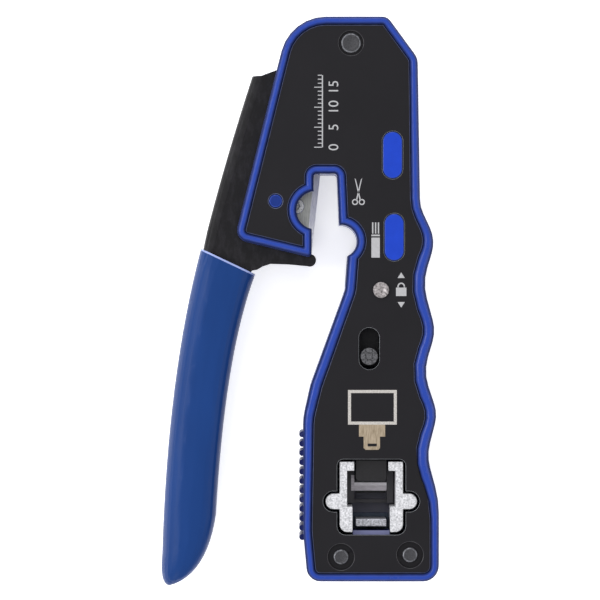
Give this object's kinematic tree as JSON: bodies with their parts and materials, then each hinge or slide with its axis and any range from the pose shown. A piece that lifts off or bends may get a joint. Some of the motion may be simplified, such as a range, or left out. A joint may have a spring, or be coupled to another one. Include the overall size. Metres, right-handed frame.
{
  "type": "modular plug crimping tool",
  "caption": "Compact hand crimping tool for modular plugs with a lever grip, cutting slot, stripping notch, plug port and sliding handle lock.",
  "frame": {"origin": "middle of the footprint, on the surface that the tool lies on with its rear face down", "axes": "+Z out of the front cover plate, +Y from the port end to the hinge end, +X from the lever to the finger grooves"},
  "size_m": [0.0698, 0.143, 0.02],
  "materials": {
    "blue_housing": "satin moulded, fine grain",
    "black_plate": "satin black",
    "black_lever": "satin black",
    "blue_grip": "glossy dipped sleeve",
    "black_insert": "matt",
    "steel": "bright",
    "dark_steel": "blackened",
    "blade": "ground",
    "nickel": "bead blasted"
  },
  "bodies": {
    "housing": {"front_shell": "blue_housing", "rear_shell": "blue_housing", "front_plate": "black_plate", "rear_plate": "black_plate", "hinge_pin": "dark_steel", "hinge_sleeve": "steel", "return_spring": "steel", "lock_rivet": "steel", "housing_screws": "dark_steel", "housing_nuts": "steel", "jaw_left": "nickel", "jaw_right": "nickel", "plug_stop": "black_insert", "latch_bar": "steel", "trim_cover": "black_plate", "trim_cover_screws": "steel"},
    "lever": {"lever": "black_lever", "grip_sleeve": "blue_grip", "grip_rivet": "steel", "blade_carrier": "black_insert", "carrier_rivets": "steel", "cutting_blade": "blade", "blade_screws": "steel", "crank_pin": "steel", "catch_pin": "steel"},
    "ram": {"push_rod": "steel", "crimp_punch": "dark_steel", "punch_pin": "steel", "trim_blade": "blade", "trim_blade_screws": "steel"},
    "lock": {"lock_bar": "dark_steel", "lock_knob": "black_insert"}
  },
  "joints": [
    {"name": "lever_hinge", "type": "hinge", "parent": "housing", "child": "lever", "pos_m": [0.01275, 0.06425, 0.01], "axis": [0, 0, 1], "range_deg": [0, 9.5], "stiffness_Nm_per_rad": 0.2, "springref_deg": -17.19, "deforming": ["return_spring"]},
    {"name": "ram_slide", "type": "slide", "parent": "housing", "child": "ram", "axis": [0, -1, 0], "range_m": [0, 0.0018]},
    {"name": "lock_slide", "type": "slide", "parent": "housing", "child": "lock", "axis": [0, 1, 0], "range_m": [0, 0.0045]}
  ],
  "couplings": [
    {"joint": "ram_slide", "follows": "lever_hinge", "m_per_rad": 0.010669}
  ]
}
